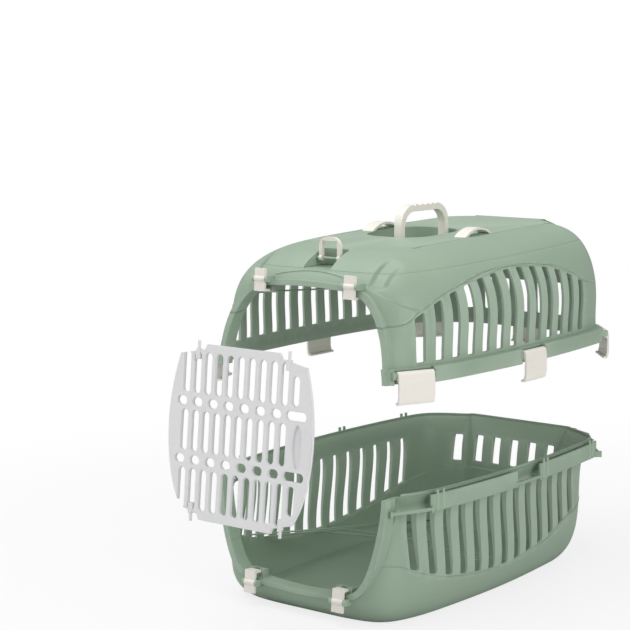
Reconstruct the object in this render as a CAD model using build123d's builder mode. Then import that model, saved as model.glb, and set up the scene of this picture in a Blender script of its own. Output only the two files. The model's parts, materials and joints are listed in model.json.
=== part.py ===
from build123d import *
import os
from math import radians, sin, cos

os.makedirs("parts", exist_ok=True)

# Pet carrier of two moulded halves. Millimetres. The origin is the middle of the base's underside,
# +Z is up and the door faces -Y. Pieces are drawn where they sit when the carrier is shut.

# Walls and fits
wall = 3.2
floor_thickness = 3.5
clearance = 0.4
pin_fit = 0.06

# Base tray
rim_height = 146.0
tongue_gap = 0.8
foot_half_width = 122.0
foot_front = 222.0
foot_rear = 184.0
heel_height = 12.0
heel_half_width = 132.0
heel_front = 234.0
heel_rear = 196.0
shoulder_height = 50.0
shoulder_half_width = 139.0
shoulder_front = 240.0
shoulder_rear = 212.0
tongue_height = 3.0
tongue_inset = 1.4
floor_panel_rise = 2.0
floor_panel_inset = 24.0

# Rim bands
band_height = 19.0
band_skin = 2.4
channel_width = 4.6
band_outset = channel_width + band_skin
peg_radius = 1.8
peg_height = 5.0
peg_spacing = 9.0
peg_start = 9.0
peg_out = 2.3
lid_band_height = 17.5

# Lid
lid_half_width = 150.0
lid_front = 239.0
lid_rear = 240.0
rim_half_width = lid_half_width - wall - tongue_gap
base_front = lid_front - wall - tongue_gap
base_rear = lid_rear - wall - tongue_gap
lid_waist = (200.0, 147.5, 231.0, 237.0)
lid_shoulder = (240.0, 142.0, 222.0, 232.0)
lid_crease = (265.0, 127.0, 209.0, 225.0)
lid_brow = (280.0, 106.0, 187.0, 215.0)
roof_height = 288.0
roof_half_width = 84.0
roof_front = 160.0
roof_rear = 200.0
roof_pitch = 1.6

# Ventilation slots
slot_width = 13.0
slot_corner = 2.0
slot_pitch = 27.5
slot_count = 13
first_slot = -190.0
slot_last_y = 165.0
base_slot_top = 124.0
lid_slot_bottom = 167.0
rear_slot_pitch = 27.0
rear_slot_count = 7

# Front opening and its flange
opening_half_width = 113.0
sill_height = 29.0
arch_height = 244.0
flange_width = 6.0
opening_depth = 200.0
sill_side_rise = 4.0
arch_side_drop = 4.0

# Door
door_half_width = 100.0
door_bottom = 42.5
door_top = 234.5
door_middle = (door_top + door_bottom) / 2
door_thickness = 4.0
door_plane = 224.0
door_lean = 5.3
door_pin_spacing = 63.0
door_pin_radius = 1.7
door_barrel_radius = 3.5
door_barrel_length = 11.0
door_pin_length = 9.0
shoulder_step = 6.0
door_tab_slope = 3.0
door_tab_gap = 2.0
door_slot_length = 46.0
door_slot_width = 10.0
door_slot_pitch = 15.2
door_slot_count = 10
door_first_slot = -77.0
door_row_distance = 64.0
door_corner_row = 58.0
door_corner_slot = 32.0
door_oval_row = 32.0
door_oval_width = 14.0
door_oval_height = 10.0
door_oval_pitch = 22.0
door_oval_count = 7
door_first_oval = -82.0
door_wide_oval = 77.0
pull_place = 80.0
pull_width = 12.0
pull_length = 46.0

# Clips
clip_width = 46.0
clip_recess = 50.0
clip_thickness = 2.4
clip_bar_radius = 2.2
clip_bar_height = 157.0
clip_bar_out = 5.2
hook_bar_height = 130.0
hook_bar_out = 1.0
clip_bulge = 1.0
clip_clear = 0.4
cheek_thickness = 3.0
clip_front_place = -205.0
clip_mid_place = 4.0
clip_rear_place = 206.0

# Handle, ring and strap guides
handle_side_gap = 6.0
well_near = 30.0
well_far = 57.0
well_depth = 24.0
well_corner = 34.0
handle_length = 100.0
well_length = handle_length + 2 * handle_side_gap
handle_bar = 8.0
handle_height = 50.0
handle_thickness = 10.0
notch_radius = 5.0
notch_depth = 1.2
notch_pitch = 11.0
notch_count = 5
handle_corner = 26.0
handle_pivot_drop = 15.0
handle_pivot = roof_height - handle_pivot_drop
handle_pin_radius = 3.0
handle_pin_reach = 6.0
ring_width = 30.0
ring_height = 24.0
ring_wire = 4.5
ring_corner = 11.0
ring_place = -180.0
ring_pivot_height = 272.0
ring_eye_radius = 3.6
ring_recess_width = 38.0
ring_recess_depth = 60.0
ring_recess_floor = 262.0
ring_recess_corner = 5.0
ring_place_back = 168.0
ring_pin_radius = 1.6
guide_length = 58.0
guide_width = 16.0
guide_rise = 9.0
guide_thickness = 2.6
guide_foot = 6.0
guide_place_x = 67.0
guide_place_y = 10.0
groove_place = 78.0
groove_width = 1.4
groove_depth = 1.2
groove_length = 300.0

# Levers
lever_width = 15.0
lever_pin_radius = 1.5
fork_width = 22.0
fork_gap = 9.0
fork_depth = 6.0
fork_back = 3.0
fork_behind = 2.0
fork_reach = 10.5
fork_root = 3.5
lug_length = 17.0
lug_radius = 3.6
lever_hub = 3.4
lever_plate = 3.0
lever_paddle = 12.0
lever_lip = 11.0
lever_hook_drop = 14.2
door_tab = door_pin_spacing - fork_width / 2 - door_tab_gap
frame_depth = 18.0
base_frame_low = 243.5
base_frame_high = 237.0
lid_frame_high = 222.0
lever_out = 14.0
lever_line = door_plane + lever_out
lid_lever_height = 248.0
base_lever_height = 25.0
ear_thickness = 3.0

# Heights of the waves that the slotted panels end on, over the distance from the middle of the length
base_wave_points = [
    (0, -250, 68), (0, -218, 68), (0, -190, 58), (0, -107, 38), (0, -30, 32), (0, 57, 40),
    (0, 140, 60), (0, 200, 78), (0, 250, 88),
]
lid_wave_points = [
    (0, -250, 206), (0, -216, 208), (0, -190, 222), (0, -107, 248), (0, -20, 258), (0, 57, 254),
    (0, 113, 241), (0, 160, 224), (0, 250, 214),
]

# How far the loose pieces are held from the base in the resting pose
lid_raised = 126.0
door_forward = 117.0
door_raised = 79.5

# The shared plan of both halves: shares of the half width and of the length, from front to rear
plan_stations = [
    (0.0, 0.0), (0.5, 0.003), (0.78, 0.03), (0.9, 0.1), (0.97, 0.25), (1.0, 0.46),
    (0.985, 0.66), (0.94, 0.835), (0.835, 0.932), (0.56, 0.984), (0.0, 1.0),
]
base_levels = [
    (0.0, foot_half_width, foot_front, foot_rear, 0.0),
    (heel_height, heel_half_width, heel_front, heel_rear, 0.0),
    (shoulder_height, shoulder_half_width, shoulder_front, shoulder_rear, 0.0),
    (rim_height, rim_half_width, base_front, base_rear, 0.0),
]
lid_bottom = rim_height + clearance
lid_levels = [
    (lid_bottom, lid_half_width, lid_front, lid_rear, 0.0),
    (*lid_waist, 0.0),
    (*lid_shoulder, 0.5 * roof_pitch),
    (*lid_crease, roof_pitch),
    (*lid_brow, roof_pitch),
    (roof_height, roof_half_width, roof_front, roof_rear, roof_pitch),
]


def plan_points(half_width, front, rear, inset):
    """Points of the plan's right half, drawn in from the wall by the inset."""
    length = front + rear - 2 * inset
    return [((half_width - inset) * a, -front + inset + length * b) for a, b in plan_stations]


def plan_face(half_width, front, rear, inset=0.0):
    with BuildLine() as outline:
        Spline(*plan_points(half_width, front, rear, inset), tangents=((1, 0), (-1, 0)))
        mirror(about=Plane.YZ)
    make_face(outline.edges())


def level_plane(height, pitch):
    return Plane(origin=(0, 0, height), x_dir=(1, 0, 0), z_dir=(0, -sin(radians(pitch)), cos(radians(pitch))))


def body(levels, inset=0.0, first_height=None, last_height=None):
    """A closed body through the plan at each level, drawn in by the inset."""
    with BuildPart() as solid:
        for index, (height, half_width, front, rear, pitch) in enumerate(levels):
            if index == 0 and first_height is not None:
                height = first_height
            if index == len(levels) - 1 and last_height is not None:
                height = last_height
            with BuildSketch(level_plane(height, pitch)):
                plan_face(half_width, front, rear, inset)
        loft()
    return solid.part


def where(edge, axis, value):
    """The point of an edge that runs steadily along an axis, at this value on it."""
    low, high = 0.0, 1.0
    rising = getattr(edge.position_at(1.0), axis) > getattr(edge.position_at(0.0), axis)
    for _ in range(40):
        middle = (low + high) / 2
        if (getattr(edge.position_at(middle), axis) < value) == rising:
            low = middle
        else:
            high = middle
    return edge.position_at(low)


with BuildLine() as base_wave_line:
    Spline(*base_wave_points)
with BuildLine() as lid_wave_line:
    Spline(*lid_wave_points)
base_wave = base_wave_line.edges()[0]
lid_wave = lid_wave_line.edges()[0]


def slot_face(across, level_end, ends):
    """One slot: level at one end and cut along the wave at the other, at its two edges' heights."""
    half = slot_width / 2
    with BuildLine() as outline:
        Polyline((across - half, level_end), (across + half, level_end), (across + half, ends[1]),
                 (across - half, ends[0]), close=True)
    face = make_face(outline.edges())
    fillet(face.vertices(), slot_corner)


def slot_cutters(wave, side_end, wave_gap):
    """The slots of both sides and of the rear, from a level end to the wave, as separate solids."""
    cutters = []
    for index in range(slot_count):
        y = first_slot + index * slot_pitch
        ends = [where(wave, "Y", y + edge * slot_width / 2).Z + wave_gap for edge in (-1, 1)]
        for side in (-1, 1):
            with BuildPart() as cutter:
                with BuildSketch(Plane.YZ.offset(side * lid_half_width / 2)):
                    slot_face(y, side_end, ends)
                extrude(amount=side * lid_half_width)
            cutters.append(cutter.part)
    rear_end = where(wave, "Y", lid_rear).Z + wave_gap
    for index in range(rear_slot_count):
        x = (index - (rear_slot_count - 1) / 2) * rear_slot_pitch
        with BuildPart() as cutter:
            with BuildSketch(Plane.XZ.offset(-slot_last_y)):
                slot_face(x, side_end, (rear_end, rear_end))
            extrude(amount=-lid_rear)
        cutters.append(cutter.part)
    return cutters


# Places of the clips round the lid's rim: a plane at each, with its first axis pointing out of the wall
# and its second axis up
with BuildLine() as rim_line:
    Spline(*plan_points(lid_half_width, lid_front, lid_rear, 0.0), tangents=((1, 0), (-1, 0)))


def rim_place(y):
    """The plane across the rim where its right half reaches this distance from the middle."""
    edge = rim_line.edges()[0]
    spot = where(edge, "Y", y)
    along = edge.tangent_at(edge.param_at_point(spot))
    return Plane(origin=(spot.X, spot.Y, 0), x_dir=Vector(along.Y, -along.X, 0), z_dir=along * -1)


def mirrored(place):
    """The same place on the left side."""
    x, y, z = place.origin
    return Plane(origin=(-x, y, z), x_dir=Vector(-place.x_dir.X, place.x_dir.Y, 0),
                 z_dir=Vector(place.z_dir.X, -place.z_dir.Y, 0))


clip_places = {
    "front_right": rim_place(clip_front_place),
    "mid_right": rim_place(clip_mid_place),
    "rear_right": rim_place(clip_rear_place),
    "back": Plane(origin=(0, lid_rear, 0), x_dir=(0, 1, 0), z_dir=(1, 0, 0)),
}
for name in ("front", "mid", "rear"):
    clip_places[name + "_left"] = mirrored(clip_places[name + "_right"])


def recess_cut(place, low, high, inner):
    """The gap in a rim band at a clip."""
    with BuildPart() as cut:
        with BuildSketch(place):
            with Locations(((inner + 2 * band_outset) / 2, (low + high) / 2)):
                Rectangle(2 * band_outset - inner, high - low)
        extrude(amount=clip_recess / 2, both=True)
    return cut.part


def cross_bar(place, out, height, root):
    """A round bar across a recess, held by a cheek at each end that reaches in to the wall."""
    with BuildPart() as bar:
        with BuildSketch(place):
            with Locations((out, height)):
                Circle(clip_bar_radius)
        extrude(amount=clip_recess / 2 + cheek_thickness, both=True)
        for side in (-1, 1):
            with BuildSketch(place.offset(side * (clip_recess + cheek_thickness) / 2)):
                with Locations(((out + clip_bar_radius + root) / 2, height)):
                    Rectangle(out + clip_bar_radius - root, 2 * clip_bar_radius + 3)
            extrude(amount=cheek_thickness / 2, both=True)
    return bar.part


def opening_face(grow=0.0):
    """The front opening, seen from the front, with the arch above and the sill below."""
    half = opening_half_width + grow
    sill = sill_height - grow
    top = arch_height + grow
    with BuildLine() as outline:
        Spline((0, sill), (0.4 * half, sill + 2), (0.71 * half, sill + 10), (0.86 * half, sill + 36),
               (0.95 * half, sill + 72), (half, rim_height), (0.98 * half, top - 74), (0.91 * half, top - 44),
               (0.8 * half, top - 22), (0.62 * half, top - 6), (0.3 * half, top - 1), (0, top),
               tangents=((1, 0), (-1, 0)))
        mirror(about=Plane.YZ)
    make_face(outline.edges())


with BuildPart() as opening:
    with BuildSketch(Plane.XZ.offset(opening_depth)):
        opening_face()
    extrude(amount=lid_front)


def front_frame(low, high, front_low, front_high):
    """The raised border round the opening: a flat ring that leans with the front of its half."""
    with BuildPart() as border:
        with BuildSketch(Plane.YZ):
            with BuildLine():
                Polyline((-front_low, low), (-front_high, high), (frame_depth - front_high, high),
                         (frame_depth - front_low, low), close=True)
            make_face()
        extrude(amount=lid_half_width, both=True)
        with BuildSketch(Plane.XZ.offset(opening_depth)):
            opening_face(flange_width)
        extrude(amount=lid_front, mode=Mode.INTERSECT)
    return border.part


def band(low, high, inner, outer, half_width, front, rear):
    """A level ring round the plan between two outsets."""
    with BuildPart() as ring:
        with BuildSketch(Plane.XY.offset(low)):
            plan_face(half_width, front, rear, -outer)
        extrude(amount=high - low)
        with BuildSketch(Plane.XY.offset(low)):
            plan_face(half_width, front, rear, -inner)
        extrude(amount=high - low, mode=Mode.SUBTRACT)
    return ring.part


def lean(piece):
    """A piece drawn upright, tilted back to the slope of the front about the middle of the door."""
    return piece.rotate(Axis((0, -door_plane, door_middle), (1, 0, 0)), -door_lean)


def forks(direction, height):
    """Two cheeks with a back between them at each pin, standing on the sill or hanging from the arch."""
    middle = height + direction * (fork_reach / 2 - fork_root)
    depth = fork_depth + fork_back
    back = depth / 2 - door_plane - fork_depth + fork_behind
    blocks = []
    for side in (-1, 1):
        with BuildPart() as block:
            with Locations((side * door_pin_spacing, back, middle)):
                Box(fork_width, depth, fork_reach)
            with Locations((side * door_pin_spacing, back - fork_back, middle)):
                Box(fork_gap, depth, 3 * fork_reach - 2 * fork_root, mode=Mode.SUBTRACT)
        blocks.append(lean(block.part))
    return blocks


def lever_lugs(height):
    """Small lugs either side of each lever, which hold its axle."""
    lugs = []
    for side in (-1, 1):
        for edge in (-1, 1):
            x = side * door_pin_spacing + edge * (lever_width + ear_thickness + 2 * clearance) / 2
            with BuildPart() as lug:
                with BuildSketch(Plane.YZ.offset(x)):
                    with Locations((-lever_line, height)):
                        Circle(lug_radius)
                    with Locations((-lever_line + lug_length / 2, height)):
                        Rectangle(lug_length, 2 * lug_radius)
                    with Locations((-lever_line, height)):
                        Circle(lever_pin_radius, mode=Mode.SUBTRACT)
                extrude(amount=ear_thickness / 2, both=True)
            lugs.append(lean(lug.part))
    return lugs


def pegs(spots):
    posts = []
    for y in spots:
        place = rim_place(y)
        for side in (place, mirrored(place)):
            foot = side.origin + side.x_dir * peg_out
            with BuildPart() as post:
                with BuildSketch(Plane.XY.offset(rim_height - band_height)):
                    with Locations((foot.X, foot.Y)):
                        Circle(peg_radius)
                extrude(amount=band_height + peg_height)
            posts.append(post.part)
    return posts


# Base tray
base_outer = body(base_levels)
base_hollow = body(base_levels, wall, floor_thickness, rim_height + 1)
base_slots = slot_cutters(base_wave, base_slot_top, 2.0)
base_rim = (rim_half_width, base_front, base_rear)
base_bands = [
    band(rim_height - band_height, rim_height - band_height + band_skin, -0.8 * wall, band_outset, *base_rim),
    band(rim_height - band_height, rim_height, channel_width, band_outset, *base_rim),
    band(rim_height - band_skin, rim_height + tongue_height, -wall, -tongue_inset, *base_rim),
]
base_cuts = [recess_cut(p, rim_height - band_height - 1, rim_height + 1, -wall) for p in clip_places.values()]
base_bars = [cross_bar(p, hook_bar_out, hook_bar_height, -3 * wall) for p in clip_places.values()]
base_frame = front_frame(sill_height - 2 * flange_width, rim_height, base_frame_low, base_frame_high)
base_forks = forks(1, sill_height + sill_side_rise)
base_lugs = lever_lugs(base_lever_height)
peg_spots = [
    clip_front_place + clip_recess / 2 + peg_start,
    clip_front_place + clip_recess / 2 + peg_start + peg_spacing,
    clip_mid_place + clip_recess / 2 + peg_start,
    clip_mid_place + clip_recess / 2 + peg_start + peg_spacing,
    clip_rear_place - clip_recess / 2 - peg_start - peg_spacing,
    clip_rear_place - clip_recess / 2 - peg_start,
]
base_pegs = pegs(peg_spots)

# Where the tongue stops short of the lid's border
with BuildPart() as tongue_end:
    with BuildSketch(Plane.XZ.offset(opening_depth)):
        with Locations((0, rim_height + tongue_height)):
            Rectangle(2 * (opening_half_width + flange_width + tongue_gap), 2 * tongue_height)
    extrude(amount=lid_front)

with BuildPart() as base_shell:
    add(base_outer)
    add(base_hollow, mode=Mode.SUBTRACT)
    add(base_slots, mode=Mode.SUBTRACT)
    add(base_bands)
    add(base_cuts, mode=Mode.SUBTRACT)
    add(base_bars)
    add(base_frame)
    add(base_lugs)
    add([opening.part, tongue_end.part], mode=Mode.SUBTRACT)
    add(base_forks)
    add(base_pegs)
    with BuildSketch(Plane.XY.offset(floor_thickness)):
        plan_face(foot_half_width, foot_front, foot_rear, floor_panel_inset)
    extrude(amount=floor_panel_rise)

# Lid
lid_outer = body(lid_levels)
lid_hollow = body(lid_levels, wall, lid_bottom - 1, roof_height - wall)
lid_slots = slot_cutters(lid_wave, lid_slot_bottom, -3.0)
lid_rim = (lid_half_width, lid_front, lid_rear)
lid_band_top = lid_bottom + lid_band_height
lid_bands = [
    band(lid_band_top - band_skin, lid_band_top, -0.8 * wall, band_outset, *lid_rim),
    band(lid_bottom, lid_band_top, channel_width, band_outset, *lid_rim),
]
lid_cuts = [recess_cut(p, lid_bottom - 1, lid_band_top + 1, clearance) for p in clip_places.values()]
lid_bars = [cross_bar(p, clip_bar_out, clip_bar_height, -2 * wall) for p in clip_places.values()]
lid_frame = front_frame(lid_bottom, arch_height + 2 * flange_width, base_frame_high, lid_frame_high)
lid_forks = forks(-1, arch_height - arch_side_drop)
lid_lugs = lever_lugs(lid_lever_height)
roof_plane = level_plane(roof_height, roof_pitch)


def roof_block(low, centre, size, corner, grow):
    """An upright block with rounded corners, from a level up past the roof."""
    with BuildPart() as block:
        with BuildSketch(Plane.XY.offset(low)):
            with Locations(centre):
                RectangleRounded(size[0] + 2 * grow, size[1] + 2 * grow, corner + grow)
        extrude(amount=roof_height)
    return block.part


well_low = roof_height - well_depth
well_centre = ((well_near - well_far) / 2, 0)
well_size = (well_near + well_far, well_length)
well = roof_block(well_low, well_centre, well_size, well_corner, 0)
well_outside = roof_block(well_low - wall, well_centre, well_size, well_corner, wall)
recess_centre = (0, -ring_place_back - ring_recess_depth / 2)
recess_size = (ring_recess_width, ring_recess_depth)
recess = roof_block(ring_recess_floor, recess_centre, recess_size, ring_recess_corner, 0)
recess_outside = roof_block(ring_recess_floor - wall, recess_centre, recess_size, ring_recess_corner, wall)

with BuildPart() as roof_pockets:
    add([well_outside, recess_outside])
    for side in (-1, 1):
        with BuildSketch(Plane.XZ.offset(side * (well_length / 2 - 1))):
            with Locations((0, handle_pivot)):
                Circle(2.2 * handle_pin_radius)
        extrude(amount=side * (handle_pin_reach + 1))
    add(lid_outer, mode=Mode.INTERSECT)

with BuildPart() as handle_bore:
    with BuildSketch(Plane.XZ.offset(-well_length)):
        with Locations((0, handle_pivot)):
            Circle(handle_pin_radius)
    extrude(amount=2 * well_length)

with BuildPart() as ring_bore:
    with BuildSketch(Plane.YZ):
        with Locations((ring_place, ring_pivot_height)):
            Circle(ring_pin_radius)
    extrude(amount=ring_recess_width / 2 + 0.75 * wall, both=True)

with BuildPart() as roof_cuts:
    with BuildSketch(roof_plane.offset(-groove_depth)):
        for side in (-1, 1):
            with Locations((side * groove_place, (roof_rear - roof_front) / 2)):
                Rectangle(groove_width, groove_length)
    extrude(amount=4 * groove_depth)
    with BuildSketch(roof_plane.offset(-2 * wall)):
        for side in (-1, 1):
            with Locations((side * guide_place_x, guide_place_y)):
                Rectangle(guide_width - 4, guide_length - 4 * guide_foot)
    extrude(amount=4 * wall)

with BuildPart() as lid_shell:
    add(lid_outer)
    add(lid_hollow, mode=Mode.SUBTRACT)
    add(lid_slots, mode=Mode.SUBTRACT)
    add(lid_bands)
    add(lid_cuts, mode=Mode.SUBTRACT)
    add(lid_bars)
    add(roof_pockets.part)
    add([well, recess], mode=Mode.SUBTRACT)
    add(lid_frame)
    add(lid_lugs)
    add(opening.part, mode=Mode.SUBTRACT)
    add(lid_forks)
    add([handle_bore.part, ring_bore.part, roof_cuts.part], mode=Mode.SUBTRACT)

# Door: a flat grid that is narrower than the opening, with a barrel at each pin
door_half_height = (door_top - door_bottom) / 2

with BuildPart() as door_grid:
    with BuildSketch(Plane.XZ.offset(door_plane - door_thickness / 2)):
        with BuildLine():
            side_points = [(0.87, 0.93), (0.95, 0.6), (1.0, 0.1), (0.97, -0.35), (0.88, -0.72), (0.78, -0.93)]
            top_step = door_half_height - shoulder_step
            edge = Spline(*[(door_half_width * a, door_middle + top_step * b) for a, b in side_points])
            Polyline((0, door_top), (door_tab, door_top),
                     (door_tab + door_tab_slope, door_top - shoulder_step), edge @ 0)
            Polyline(edge @ 1, (door_tab + door_tab_slope, door_bottom + shoulder_step),
                     (door_tab, door_bottom), (0, door_bottom))
            mirror(about=Plane.YZ)
        make_face()
        for index in range(door_slot_count):
            x = door_first_slot + index * door_slot_pitch
            with Locations((x, door_middle)):
                SlotOverall(door_slot_length, door_slot_width, rotation=90, mode=Mode.SUBTRACT)
            for side in (-1, 1):
                with Locations((x, door_middle + side * door_row_distance)):
                    SlotOverall(door_slot_length, door_slot_width, rotation=90, mode=Mode.SUBTRACT)
        for side in (-1, 1):
            corner_x = door_first_slot + door_slot_count * door_slot_pitch
            with Locations((corner_x, door_middle + side * door_corner_row)):
                SlotOverall(door_corner_slot, door_slot_width, rotation=90, mode=Mode.SUBTRACT)
            oval_row = door_middle + side * door_oval_row
            for index in range(door_oval_count):
                with Locations((door_first_oval + index * door_oval_pitch, oval_row)):
                    SlotOverall(door_oval_width, door_oval_height, mode=Mode.SUBTRACT)
            with Locations((door_wide_oval, oval_row)):
                SlotOverall(2 * door_oval_width, door_oval_height, mode=Mode.SUBTRACT)
    extrude(amount=door_thickness)
    for side in (-1, 1):
        for end in (-1, 1):
            top = door_middle + end * (door_half_height - shoulder_step)
            with BuildSketch(Plane.XY.offset(top - end * door_barrel_length)):
                with Locations((side * door_pin_spacing, -door_plane)):
                    Circle(door_barrel_radius)
            extrude(amount=end * door_barrel_length)
            with BuildSketch(Plane.XY.offset(top - end * (door_barrel_length + 1))):
                with Locations((side * door_pin_spacing, -door_plane)):
                    Circle(door_pin_radius + (pin_fit if side < 0 else 0))
            extrude(amount=end * (door_barrel_length + 2), mode=Mode.SUBTRACT)
    with BuildSketch(Plane.XZ.offset(door_plane + door_thickness / 2)):
        with Locations((pull_place, door_middle)):
            Ellipse(pull_width / 2, pull_length / 2)
    extrude(amount=-door_thickness / 2, mode=Mode.SUBTRACT)


def door_pins(side):
    """The upper and the lower pin on one side of the door."""
    with BuildPart() as pins:
        for end in (-1, 1):
            top = door_middle + end * (door_half_height - shoulder_step)
            with BuildSketch(Plane.XY.offset(top - end * (door_barrel_length - 1))):
                with Locations((side * door_pin_spacing, -door_plane)):
                    Circle(door_pin_radius)
            extrude(amount=end * (door_barrel_length - 1 + door_pin_length))
    return lean(pins.part)


def clip(place):
    """A C-shaped clip that hangs from its bar and carries a lip at its lower end."""
    hub = 2 * clip_bar_radius
    outside = clip_bar_out + hub
    inside = outside - clip_thickness
    lip_top = hook_bar_height - clip_bar_radius - clip_clear
    lip_end = hook_bar_out + clip_bar_radius + clearance
    with BuildPart() as hook:
        with BuildSketch(place):
            with BuildLine():
                Polyline((clip_bar_out, clip_bar_height), (outside, clip_bar_height),
                         (outside + clip_bulge, clip_bar_height - 8), (outside + clip_bulge, lip_top + 6),
                         (outside, lip_top), (outside - 1.5, lip_top - clip_thickness),
                         (lip_end, lip_top - clip_thickness), (lip_end, lip_top),
                         (inside - 0.5, lip_top), (inside + clip_bulge, lip_top + 6),
                         (inside + clip_bulge, clip_bar_height - 8), (clip_bar_out, clip_bar_height - hub),
                         close=True)
            make_face()
            with Locations((clip_bar_out, clip_bar_height)):
                Circle(hub)
                Circle(clip_bar_radius + pin_fit, mode=Mode.SUBTRACT)
        extrude(amount=clip_width / 2, both=True)
    return hook.part


def lever(side, height, direction):
    """A rocker on its axle: a paddle on the outside and a hook that reaches in past the door's pin."""
    with BuildPart() as rocker:
        with BuildSketch(Plane.YZ.offset(side * door_pin_spacing)):
            hook_end = height - direction * lever_hook_drop
            with Locations((-lever_line, height)):
                Circle(lever_hub)
            with Locations((-lever_line, (height + hook_end) / 2)):
                Rectangle(lever_plate, lever_hook_drop)
            lip_height = hook_end + direction * lever_plate / 2
            with Locations(((lever_lip - lever_plate) / 2 - lever_line, lip_height)):
                Rectangle(lever_lip, lever_plate)
            with Locations((-lever_line, height + direction * lever_paddle / 2)):
                Rectangle(lever_plate + 0.6, lever_paddle)
            with Locations((-lever_line, height)):
                Circle(lever_pin_radius + pin_fit, mode=Mode.SUBTRACT)
        extrude(amount=lever_width / 2, both=True)
    return lean(rocker.part)


def lever_pins(height):
    """The axles of the two levers on one half."""
    with BuildPart() as axles:
        for side in (-1, 1):
            half = lever_width / 2 + ear_thickness + clearance
            with BuildSketch(Plane.YZ.offset(side * door_pin_spacing - half)):
                with Locations((-lever_line, height)):
                    Circle(lever_pin_radius)
            extrude(amount=2 * half)
    return lean(axles.part)


# Handle, a flat-topped bail with shallow finger notches along the top
with BuildPart() as handle:
    with BuildSketch(Plane.YZ) as bail:
        with Locations((0, handle_pivot + handle_height / 2)):
            Rectangle(handle_length, handle_height)
        fillet(bail.vertices().group_by(Axis.Y)[-1], handle_corner)
        with Locations((0, handle_pivot + (handle_height - handle_bar) / 2)):
            inner = Rectangle(handle_length - 2 * handle_bar, handle_height - handle_bar, mode=Mode.PRIVATE)
        add(inner, mode=Mode.SUBTRACT)
        for side in (-1, 1):
            with Locations((side * (handle_length - handle_bar) / 2, handle_pivot)):
                Circle(handle_bar / 2 + 0.5)
    extrude(amount=handle_thickness / 2, both=True)
    bar_underside = handle_pivot + handle_height - handle_bar
    inside_corners = handle.edges().filter_by(Axis.X).filter_by_position(
        Axis.Z, bar_underside - 0.1, bar_underside + 0.1)
    fillet(inside_corners, handle_corner - handle_bar)
    with BuildSketch(Plane.XZ.offset(-handle_length)):
        with Locations((0, handle_pivot)):
            Circle(handle_pin_radius)
    extrude(amount=2 * handle_length, mode=Mode.SUBTRACT)
    with BuildSketch(Plane.YZ):
        with GridLocations(notch_pitch, 0, notch_count, 1):
            with Locations((0, handle_pivot + handle_height + notch_radius - notch_depth)):
                Circle(notch_radius)
    extrude(amount=handle_thickness / 2, both=True, mode=Mode.SUBTRACT)

# The two stubs that the handle turns on, which run in the well's end walls
with BuildPart() as handle_pins:
    for side in (-1, 1):
        with BuildSketch(Plane.XZ.offset(side * (handle_length / 2 - handle_bar))):
            with Locations((0, handle_pivot)):
                Circle(handle_pin_radius)
        extrude(amount=side * (handle_bar + handle_side_gap + handle_pin_reach))

# Ring at the front edge of the roof
with BuildPart() as front_ring:
    with BuildSketch(Plane.XZ.offset(-ring_place)) as loop_face:
        with Locations((0, ring_pivot_height + ring_height / 2)):
            Rectangle(ring_width, ring_height)
        fillet(loop_face.vertices().group_by(Axis.Y)[-1], ring_corner)
        with Locations((0, ring_pivot_height + (ring_height - ring_wire) / 2)):
            Rectangle(ring_width - 2 * ring_wire, ring_height - ring_wire, mode=Mode.SUBTRACT)
    extrude(amount=ring_wire / 2, both=True)
    for side in (-1, 1):
        with BuildSketch(Plane.YZ.offset(side * (ring_width - ring_wire) / 2)):
            with Locations((ring_place, ring_pivot_height)):
                Circle(ring_eye_radius)
        extrude(amount=ring_wire / 2, both=True)
    with BuildSketch(Plane.YZ):
        with Locations((ring_place, ring_pivot_height)):
            Circle(ring_pin_radius + pin_fit)
    extrude(amount=ring_width, both=True, mode=Mode.SUBTRACT)

with BuildPart() as ring_pin:
    with BuildSketch(Plane.YZ):
        with Locations((ring_place, ring_pivot_height)):
            Circle(ring_pin_radius)
    extrude(amount=ring_recess_width / 2 + 0.75 * wall, both=True)


def belt_guide(side):
    """An arched bridge along the roof, for a belt to pass under."""
    rise = guide_place_y * sin(radians(roof_pitch))
    across = Plane(origin=(side * guide_place_x, guide_place_y, roof_height + rise),
                   x_dir=(0, cos(radians(roof_pitch)), sin(radians(roof_pitch))), z_dir=(1, 0, 0))
    half = guide_length / 2
    with BuildPart() as bridge:
        with BuildSketch(across):
            with BuildLine():
                top = ThreePointArc((-half, 0), (0, guide_rise), (half, 0))
                Line(top @ 1, (half - guide_foot, 0))
                ThreePointArc((half - guide_foot, 0), (0, guide_rise - guide_thickness),
                              (guide_foot - half, 0))
                Line((guide_foot - half, 0), top @ 0)
            make_face()
        extrude(amount=guide_width / 2, both=True)
    return bridge.part


def finish(piece, name, forward=0.0, up=0.0):
    """Moves a piece from its place in the shut carrier to the resting pose, and writes it."""
    piece.move(Location((0, -forward, up)))
    piece.label = name
    export_step(piece, f"parts/{name}.step")


finish(base_shell.part, "base_shell")
for name, side in (("left", -1), ("right", 1)):
    finish(lever(side, base_lever_height, -1), f"lever_base_{name}")
    finish(lever(side, lid_lever_height, 1), f"lever_lid_{name}", up=lid_raised)
    finish(belt_guide(side), f"belt_guide_{name}", up=lid_raised)
    finish(door_pins(side), f"door_pins_{name}", forward=door_forward, up=door_raised)
finish(lever_pins(base_lever_height), "lever_pins_base")
finish(lever_pins(lid_lever_height), "lever_pins_lid", up=lid_raised)
finish(lean(door_grid.part), "door_grid", forward=door_forward, up=door_raised)
finish(handle.part, "handle", up=lid_raised)
finish(handle_pins.part, "handle_pins", up=lid_raised)
finish(front_ring.part, "front_ring", up=lid_raised)
finish(ring_pin.part, "ring_pin", up=lid_raised)
for name, place in clip_places.items():
    finish(clip(place), f"clip_{name}", up=lid_raised)
finish(lid_shell.part, "lid_shell", up=lid_raised)
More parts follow.
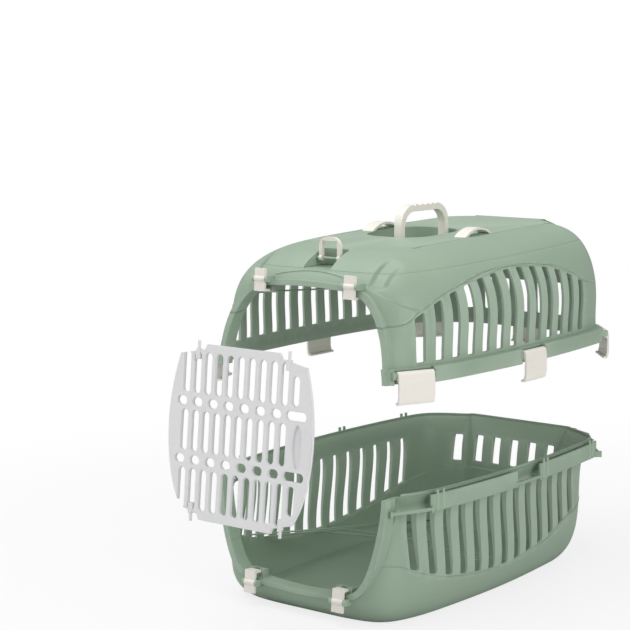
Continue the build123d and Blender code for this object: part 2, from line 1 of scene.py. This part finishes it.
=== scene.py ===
import bpy
import json
from math import radians, sin, cos
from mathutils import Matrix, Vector


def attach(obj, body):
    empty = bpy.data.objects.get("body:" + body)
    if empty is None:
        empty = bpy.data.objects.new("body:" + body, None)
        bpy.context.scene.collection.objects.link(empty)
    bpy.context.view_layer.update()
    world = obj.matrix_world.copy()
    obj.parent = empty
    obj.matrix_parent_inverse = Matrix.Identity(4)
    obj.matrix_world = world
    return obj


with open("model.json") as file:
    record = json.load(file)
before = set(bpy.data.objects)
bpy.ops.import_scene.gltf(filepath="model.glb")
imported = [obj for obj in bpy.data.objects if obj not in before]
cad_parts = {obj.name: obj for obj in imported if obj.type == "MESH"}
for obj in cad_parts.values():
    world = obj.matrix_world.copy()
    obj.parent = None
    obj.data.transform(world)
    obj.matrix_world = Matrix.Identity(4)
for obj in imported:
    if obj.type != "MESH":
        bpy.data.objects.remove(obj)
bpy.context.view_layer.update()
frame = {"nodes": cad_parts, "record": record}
print("frame loaded")

# Camera, at the photograph's viewing angle
cameraSetup = {
    "azimuth": 37.909,
    "elevation": 7.787,
    "distance": 2.209,
    "target": (-0.101, -0.079, 0.314),
    "lens": 104.4,
    "sensor": 36,
    "farthest": 50,
}


def addCamera(setup):
    turn, rise = radians(setup["azimuth"]), radians(setup["elevation"])
    back = (sin(turn) * cos(rise), -cos(turn) * cos(rise), sin(rise))
    place = [t + b * setup["distance"] for t, b in zip(setup["target"], back)]
    bpy.ops.object.camera_add(location=place, rotation=(radians(90) - rise, 0, turn))
    camera = bpy.context.object
    camera.data.lens = setup["lens"]
    camera.data.sensor_width = setup["sensor"]
    camera.data.clip_end = setup["farthest"]
    bpy.context.scene.camera = camera


addCamera(cameraSetup)

# Studio: a pale floor that turns white away from the part, soft lamps and white surroundings
studio = {
    "floorSize": 60.0,
    "floorDrop": 0.0005,
    "floorColour": (0.86, 0.86, 0.86, 1),
    "floorRoughness": 0.2,
    "floorGlow": 0.78,
    "glowStart": 0.3,
    "glowEnd": 1.1,
    "white": (1, 1, 1, 1),
    "worldStrength": 0.52,
}
lamps = [
    {"name": "topSoft", "place": (-0.5, -0.4, 2.6), "aim": (0, 0, 0.2), "size": 2.4, "power": 46},
    {"name": "leftSoft", "place": (-2.2, -1.9, 1.4), "aim": (0, 0, 0.2), "size": 1.6, "power": 17},
    {"name": "rightSoft", "place": (2.4, -0.7, 1.3), "aim": (0, 0, 0.25), "size": 1.4, "power": 26},
]


def addFloor(setup):
    bpy.ops.object.select_all(action="DESELECT")
    bpy.ops.mesh.primitive_plane_add(size=setup["floorSize"], location=(0, 0, -setup["floorDrop"]))
    floor = bpy.context.object
    floor.name = "studioFloor"
    bpy.ops.object.transform_apply(location=True, rotation=True, scale=True)
    paint = bpy.data.materials.new("studioWhite")
    paint.use_nodes = True
    nodes, links = paint.node_tree.nodes, paint.node_tree.links
    shader = nodes["Principled BSDF"]
    shader.inputs["Base Color"].default_value = setup["floorColour"]
    shader.inputs["Roughness"].default_value = setup["floorRoughness"]
    glow = nodes.new("ShaderNodeEmission")
    glow.inputs["Color"].default_value = setup["white"]
    path = nodes.new("ShaderNodeLightPath")
    coordinates = nodes.new("ShaderNodeTexCoord")
    distance = nodes.new("ShaderNodeVectorMath")
    distance.operation = "LENGTH"
    links.new(coordinates.outputs["Object"], distance.inputs[0])
    whiter = nodes.new("ShaderNodeMapRange")
    whiter.interpolation_type = "SMOOTHSTEP"
    whiter.inputs["From Min"].default_value = setup["glowStart"]
    whiter.inputs["From Max"].default_value = setup["glowEnd"]
    whiter.inputs["To Min"].default_value = setup["floorGlow"]
    links.new(distance.outputs["Value"], whiter.inputs["Value"])
    share = nodes.new("ShaderNodeMath")
    share.operation = "MULTIPLY"
    links.new(whiter.outputs["Result"], share.inputs[1])
    mix = nodes.new("ShaderNodeMixShader")
    links.new(path.outputs["Is Camera Ray"], share.inputs[0])
    links.new(share.outputs[0], mix.inputs[0])
    links.new(shader.outputs[0], mix.inputs[1])
    links.new(glow.outputs[0], mix.inputs[2])
    links.new(mix.outputs[0], nodes["Material Output"].inputs["Surface"])
    floor.data.materials.append(paint)


def addSurroundings(setup):
    world = bpy.data.worlds.new("studioWorld")
    bpy.context.scene.world = world
    world.use_nodes = True
    nodes, links = world.node_tree.nodes, world.node_tree.links
    nodes.clear()
    soft = nodes.new("ShaderNodeBackground")
    soft.inputs["Strength"].default_value = setup["worldStrength"]
    white = nodes.new("ShaderNodeBackground")
    white.inputs["Color"].default_value = setup["white"]
    white.inputs["Strength"].default_value = 1
    path = nodes.new("ShaderNodeLightPath")
    seen = nodes.new("ShaderNodeMath")
    seen.operation = "ADD"
    seen.use_clamp = True
    mix = nodes.new("ShaderNodeMixShader")
    out = nodes.new("ShaderNodeOutputWorld")
    links.new(path.outputs["Is Camera Ray"], seen.inputs[0])
    links.new(path.outputs["Is Transmission Ray"], seen.inputs[1])
    links.new(seen.outputs[0], mix.inputs[0])
    links.new(soft.outputs[0], mix.inputs[1])
    links.new(white.outputs[0], mix.inputs[2])
    links.new(mix.outputs[0], out.inputs[0])


def addLamp(setup):
    aim = Vector(setup["aim"]) - Vector(setup["place"])
    turn = aim.to_track_quat("-Z", "Y").to_euler()
    bpy.ops.object.light_add(type="AREA", location=setup["place"], rotation=turn)
    lamp = bpy.context.object
    lamp.name = setup["name"]
    lamp.data.size = setup["size"]
    lamp.data.energy = setup["power"]


addFloor(studio)
addSurroundings(studio)
for lamp in lamps:
    addLamp(lamp)
print("studio ready")


# Finishes
def newFinish(name, colour, roughness):
    paint = bpy.data.materials.new(name)
    paint.use_nodes = True
    shader = paint.node_tree.nodes["Principled BSDF"]
    shader.inputs["Base Color"].default_value = (*colour, 1)
    shader.inputs["Roughness"].default_value = roughness
    return paint, paint.node_tree.nodes, paint.node_tree.links, shader


def noiseOn(nodes, links, coordinates, scale, detail):
    noise = nodes.new("ShaderNodeTexNoise")
    noise.inputs["Scale"].default_value = scale
    noise.inputs["Detail"].default_value = detail
    links.new(coordinates.outputs["Object"], noise.inputs["Vector"])
    return noise


def ramp(nodes, links, source, low, high, start=0.35, end=0.65):
    band = nodes.new("ShaderNodeMapRange")
    band.inputs["From Min"].default_value = start
    band.inputs["From Max"].default_value = end
    band.inputs["To Min"].default_value = low
    band.inputs["To Max"].default_value = high
    links.new(source, band.inputs["Value"])
    return band.outputs["Result"]


def mathOf(nodes, links, operation, first, second):
    node = nodes.new("ShaderNodeMath")
    node.operation = operation
    for place, value in enumerate((first, second)):
        if isinstance(value, (int, float)):
            node.inputs[place].default_value = value
        else:
            links.new(value, node.inputs[place])
    return node.outputs[0]


def softStep(nodes, links, source, start, end, low=0.0, high=1.0):
    step = nodes.new("ShaderNodeMapRange")
    step.interpolation_type = "SMOOTHSTEP"
    step.inputs["From Min"].default_value = start
    step.inputs["From Max"].default_value = end
    step.inputs["To Min"].default_value = low
    step.inputs["To Max"].default_value = high
    links.new(source, step.inputs["Value"])
    return step.outputs["Result"]


def softWindow(nodes, links, source, low, high, soft):
    opens = softStep(nodes, links, source, low - soft, low + soft)
    closes = softStep(nodes, links, source, high - soft, high + soft, 1.0, 0.0)
    return mathOf(nodes, links, "MULTIPLY", opens, closes)


# The step where the slotted panel is set in, along its wave, as a height in metres
def wavePanel(nodes, links, axes, setup):
    lowest = min(z for y, z in setup["wave"])
    highest = max(z for y, z in setup["wave"])
    reach = setup["waveReach"]
    along = nodes.new("ShaderNodeMapRange")
    along.inputs["From Min"].default_value = -reach
    along.inputs["From Max"].default_value = reach
    links.new(axes["Y"], along.inputs["Value"])
    curve = nodes.new("ShaderNodeFloatCurve")
    line = curve.mapping.curves[0]
    shares = [((y + reach) / (2 * reach), (z - lowest) / (highest - lowest)) for y, z in setup["wave"]]
    line.points[0].location = shares[0]
    line.points[1].location = shares[-1]
    for share in shares[1:-1]:
        line.points.new(*share)
    curve.mapping.update()
    links.new(along.outputs["Result"], curve.inputs["Value"])
    height = nodes.new("ShaderNodeMapRange")
    height.inputs["To Min"].default_value = lowest + setup["raised"]
    height.inputs["To Max"].default_value = highest + setup["raised"]
    links.new(curve.outputs["Value"], height.inputs["Value"])
    over = mathOf(nodes, links, "SUBTRACT", axes["Z"], height.outputs["Result"])
    soft = setup["stepSoftness"]
    proud = softStep(nodes, links, over, -soft, soft, *setup["stepSides"])
    return mathOf(nodes, links, "MULTIPLY", proud, setup["stepHeight"])


# The lid's fine crease under the roof, its flutes beside the levers and the lens over the arch.
# The lens's edge runs on down the hood's corners, which the real one doesn't: a known fault.
def hoodRelief(nodes, links, axes, setup):
    slope = mathOf(nodes, links, "MULTIPLY", axes["Y"], setup["roofSlope"])
    level = mathOf(nodes, links, "SUBTRACT", axes["Z"], slope)
    crease = softWindow(nodes, links, level, setup["creaseLow"], setup["creaseHigh"], setup["creaseSoft"])
    creaseDepth = mathOf(nodes, links, "MULTIPLY", crease, -setup["creaseDepth"])
    across = mathOf(nodes, links, "ABSOLUTE", axes["X"], 0.0)
    flute = softWindow(nodes, links, across, *setup["fluteSides"], setup["fluteSoft"])
    tall = softWindow(nodes, links, axes["Z"], *setup["fluteHeights"], setup["fluteSoft"])
    ahead = softStep(nodes, links, axes["Y"], setup["hoodStart"], setup["hoodEnd"], 1.0, 0.0)
    fluteShape = mathOf(nodes, links, "MULTIPLY", mathOf(nodes, links, "MULTIPLY", flute, tall), ahead)
    fluteDepth = mathOf(nodes, links, "MULTIPLY", fluteShape, -setup["fluteDepth"])
    bow = mathOf(nodes, links, "MULTIPLY", mathOf(nodes, links, "MULTIPLY", across, across), setup["lensBow"])
    lensLevel = mathOf(nodes, links, "ADD", axes["Z"], bow)
    lensEdges = (setup["lensTop"] - setup["lensSoft"], setup["lensTop"] + setup["lensSoft"])
    lens = softStep(nodes, links, lensLevel, *lensEdges, 1.0, 0.0)
    lensShape = mathOf(nodes, links, "MULTIPLY", lens, ahead)
    lensHeight = mathOf(nodes, links, "MULTIPLY", lensShape, setup["lensHeight"])
    total = mathOf(nodes, links, "ADD", creaseDepth, fluteDepth)
    return mathOf(nodes, links, "ADD", total, lensHeight)


# What all the plastics have in common
plasticSetup = {
    "cloudDetail": 3.0,
    "grainDetail": 2.0,
    "smoother": 0.06,
    "rougher": 0.08,
    "wearStart": 0.52,
    "wearEnd": 0.6,
    "roundSamples": 4,
}


def mouldedPlastic(name, setup, panel=None, hood=None):
    setup = {**plasticSetup, **setup}
    paint, nodes, links, shader = newFinish(name, setup["colour"], setup["roughness"])
    coordinates = nodes.new("ShaderNodeTexCoord")
    cloud = noiseOn(nodes, links, coordinates, setup["cloudScale"], setup["cloudDetail"])
    grain = noiseOn(nodes, links, coordinates, setup["grainScale"], setup["grainDetail"])

    # Colour: faint clouds, and paler where the edges are worn
    tint = nodes.new("ShaderNodeMix")
    tint.data_type = "RGBA"
    tint.inputs["A"].default_value = (*setup["colour"], 1)
    tint.inputs["B"].default_value = (*setup["colourWorn"], 1)
    links.new(ramp(nodes, links, cloud.outputs["Fac"], 0, 1), tint.inputs["Factor"])
    geometry = nodes.new("ShaderNodeNewGeometry")
    edge = nodes.new("ShaderNodeMix")
    edge.data_type = "RGBA"
    edge.inputs["B"].default_value = (*setup["colourEdge"], 1)
    links.new(tint.outputs["Result"], edge.inputs["A"])
    pointed = geometry.outputs["Pointiness"]
    worn = ramp(nodes, links, pointed, 0, setup["edgeWear"], setup["wearStart"], setup["wearEnd"])
    links.new(worn, edge.inputs["Factor"])
    links.new(edge.outputs["Result"], shader.inputs["Base Color"])

    # Gloss
    smoothest, roughest = setup["roughness"] - setup["smoother"], setup["roughness"] + setup["rougher"]
    gloss = ramp(nodes, links, grain.outputs["Fac"], smoothest, roughest)
    links.new(gloss, shader.inputs["Roughness"])

    # Relief: all heights are in metres, so the bump's distance is 1
    height = mathOf(nodes, links, "MULTIPLY", grain.outputs["Fac"], setup["grainDepth"])
    if panel:
        split = nodes.new("ShaderNodeSeparateXYZ")
        links.new(coordinates.outputs["Object"], split.inputs[0])
        height = mathOf(nodes, links, "ADD", height, wavePanel(nodes, links, split.outputs, panel))
    if hood:
        height = mathOf(nodes, links, "ADD", height, hoodRelief(nodes, links, split.outputs, hood))
    bump = nodes.new("ShaderNodeBump")
    bump.inputs["Distance"].default_value = 1.0
    rounded = nodes.new("ShaderNodeBevel")
    rounded.samples = setup["roundSamples"]
    rounded.inputs["Radius"].default_value = setup["roundEdge"]
    links.new(rounded.outputs["Normal"], bump.inputs["Normal"])
    links.new(height, bump.inputs["Height"])
    links.new(bump.outputs["Normal"], shader.inputs["Normal"])
    return paint


# The wave is given as (y, z) on the closed carrier, and raised is how far the half hangs above that
lidPanel = {
    "wave": [(-0.25, 0.206), (-0.216, 0.208), (-0.19, 0.222), (-0.107, 0.248), (-0.02, 0.258), (0.057, 0.254),
             (0.113, 0.241), (0.16, 0.224), (0.25, 0.214)],
    "waveReach": 0.25,
    "raised": 0.126,
    "stepSoftness": 0.0014,
    "stepSides": (0.0, 1.0),
    "stepHeight": 0.0016,
}
basePanel = {
    "wave": [(-0.25, 0.068), (-0.218, 0.068), (-0.19, 0.058), (-0.107, 0.038), (-0.03, 0.032), (0.057, 0.04),
             (0.14, 0.06), (0.2, 0.078), (0.25, 0.088)],
    "waveReach": 0.25,
    "raised": 0.0,
    "stepSoftness": 0.0014,
    "stepSides": (1.0, 0.0),
    "stepHeight": 0.0014,
}
lidHood = {
    "roofSlope": 0.028,
    "creaseLow": 0.3926,
    "creaseHigh": 0.3936,
    "creaseSoft": 0.0008,
    "creaseDepth": 0.0007,
    "fluteSides": (0.080, 0.097),
    "fluteHeights": (0.374, 0.407),
    "fluteSoft": 0.004,
    "fluteDepth": 0.005,
    "hoodStart": -0.20,
    "hoodEnd": -0.17,
    "lensBow": 2.2,
    "lensTop": 0.386,
    "lensSoft": 0.0012,
    "lensHeight": 0.0014,
}
greenSetup = {
    "colour": (0.285, 0.382, 0.287),
    "colourWorn": (0.305, 0.402, 0.305),
    "colourEdge": (0.42, 0.52, 0.42),
    "edgeWear": 0.5,
    "roughness": 0.46,
    "cloudScale": 9.0,
    "grainScale": 950.0,
    "grainDepth": 0.00014,
    "roundEdge": 0.0009,
}
ivorySetup = {
    "colour": (0.82, 0.78, 0.70),
    "colourWorn": (0.84, 0.80, 0.73),
    "colourEdge": (0.88, 0.85, 0.80),
    "edgeWear": 0.4,
    "roughness": 0.36,
    "cloudScale": 22.0,
    "grainScale": 1300.0,
    "grainDepth": 0.00003,
    "roundEdge": 0.0007,
}
whiteSetup = {
    "colour": (0.74, 0.74, 0.75),
    "colourWorn": (0.77, 0.77, 0.78),
    "colourEdge": (0.82, 0.82, 0.83),
    "edgeWear": 0.4,
    "roughness": 0.34,
    "cloudScale": 14.0,
    "grainScale": 1500.0,
    "grainDepth": 0.00002,
    "roundEdge": 0.0010,
}
finishes = {
    "base_green": mouldedPlastic("sageGreenBase", greenSetup, basePanel),
    "lid_green": mouldedPlastic("sageGreenLid", greenSetup, lidPanel, lidHood),
    "door_white": mouldedPlastic("paleDoor", whiteSetup),
    "door_pin_white": mouldedPlastic("paleDoorPins", whiteSetup),
    "ivory": mouldedPlastic("ivoryFittings", ivorySetup),
    "pin": mouldedPlastic("pinGreen", greenSetup),
}
slotOf = {entry["node"]: entry["material_slot"] for entry in frame["record"]["subparts"]}
for node, piece in frame["nodes"].items():
    for place in piece.material_slots:
        place.material = finishes[slotOf[node]]
print("finishes set on", len(frame["nodes"]), "nodes")


# Moulded edges: the lip along the wave of each half's slotted panels, and the arc over the door's arch
def waveHeight(y, setup):
    wave = setup["wave"]
    for (y0, z0), (y1, z1) in zip(wave, wave[1:]):
        if y <= y1:
            share = (y - y0) / (y1 - y0)
            smooth = share * share * (3 - 2 * share)
            return z0 + (z1 - z0) * smooth + setup["raised"]
    return wave[-1][1] + setup["raised"]


# Where a line from outside first meets the piece, or None where it meets nothing
def wallPoint(node, start, aim):
    start = Vector(start)
    hit, place = node.ray_cast(start, (Vector(aim) - start).normalized())[:2]
    return place if hit else None


def addBead(name, places, setup, body, slotName):
    bpy.ops.object.select_all(action="DESELECT")
    bpy.ops.curve.primitive_nurbs_path_add()
    bead = bpy.context.object
    bead.name = name
    line = bead.data.splines[0]
    line.points.add(len(places) - len(line.points))
    for point, place in zip(line.points, places):
        point.co = (*place, 1)
    line.use_endpoint_u = True
    line.resolution_u = setup["smoothness"]
    bead.data.bevel_depth = setup["radius"]
    bead.data.bevel_resolution = setup["roundness"]
    bead.data.use_fill_caps = True
    bpy.ops.object.convert(target="MESH")
    bpy.ops.object.shade_smooth()
    bead.data.materials.clear()
    bead.data.materials.append(finishes[slotName])
    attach(bead, body)


# Points round a half, from the front right corner past the rear to the front left corner. Known
# fault: where the wave crosses the end of a slot, the line passes through the slot and finds the
# opposite wall, so the bead has stray stretches inside the cabin.
def waveLip(node, panel, setup):
    places = []
    for step in range(setup["count"] + 1):
        angle = radians(setup["startAngle"] + step * (360 - 2 * setup["cornerAngle"]) / setup["count"])
        outside = (cos(angle) * setup["outside"], sin(angle) * setup["outside"])
        height = waveHeight(0, panel)
        for _ in range(setup["rounds"]):
            place = wallPoint(node, (*outside, height), (0, 0, height))
            height = waveHeight(place.y, panel) if place else height
        if place:
            places.append((place.x, place.y, height))
    return places


# Points along the arc over the door's arch, from left to right
def arcPoints(node, setup):
    places = []
    for step in range(setup["count"] + 1):
        x = setup["halfWidth"] * (2 * step / setup["count"] - 1)
        height = setup["top"] - setup["bow"] * x * x
        places.append(wallPoint(node, (x, setup["outside"], height), (x, 0, height)))
    return places


lipSetup = {
    "radius": 0.0011,
    "roundness": 2,
    "smoothness": 3,
    "count": 120,
    "rounds": 3,
    "startAngle": -60.0,
    "cornerAngle": 30.0,
    "outside": 0.6,
}
baseLipSetup = {**lipSetup, "startAngle": -54.0, "cornerAngle": 36.0}
arcSetup = {
    "radius": 0.0010,
    "roundness": 2,
    "smoothness": 4,
    "count": 16,
    "halfWidth": 0.052,
    "top": 0.3862,
    "bow": 2.4,
    "outside": -0.6,
}
lidNode = frame["nodes"]["lid_shell"]
baseNode = frame["nodes"]["base_shell"]
addBead("lidWaveLip", waveLip(lidNode, lidPanel, lipSetup), lipSetup, "lid", "lid_green")
addBead("baseWaveLip", waveLip(baseNode, basePanel, baseLipSetup), baseLipSetup, "base", "base_green")
addBead("archLens", arcPoints(lidNode, arcSetup), arcSetup, "lid", "lid_green")
print("moulded edges added")

bpy.context.scene.view_settings.view_transform = "Standard"
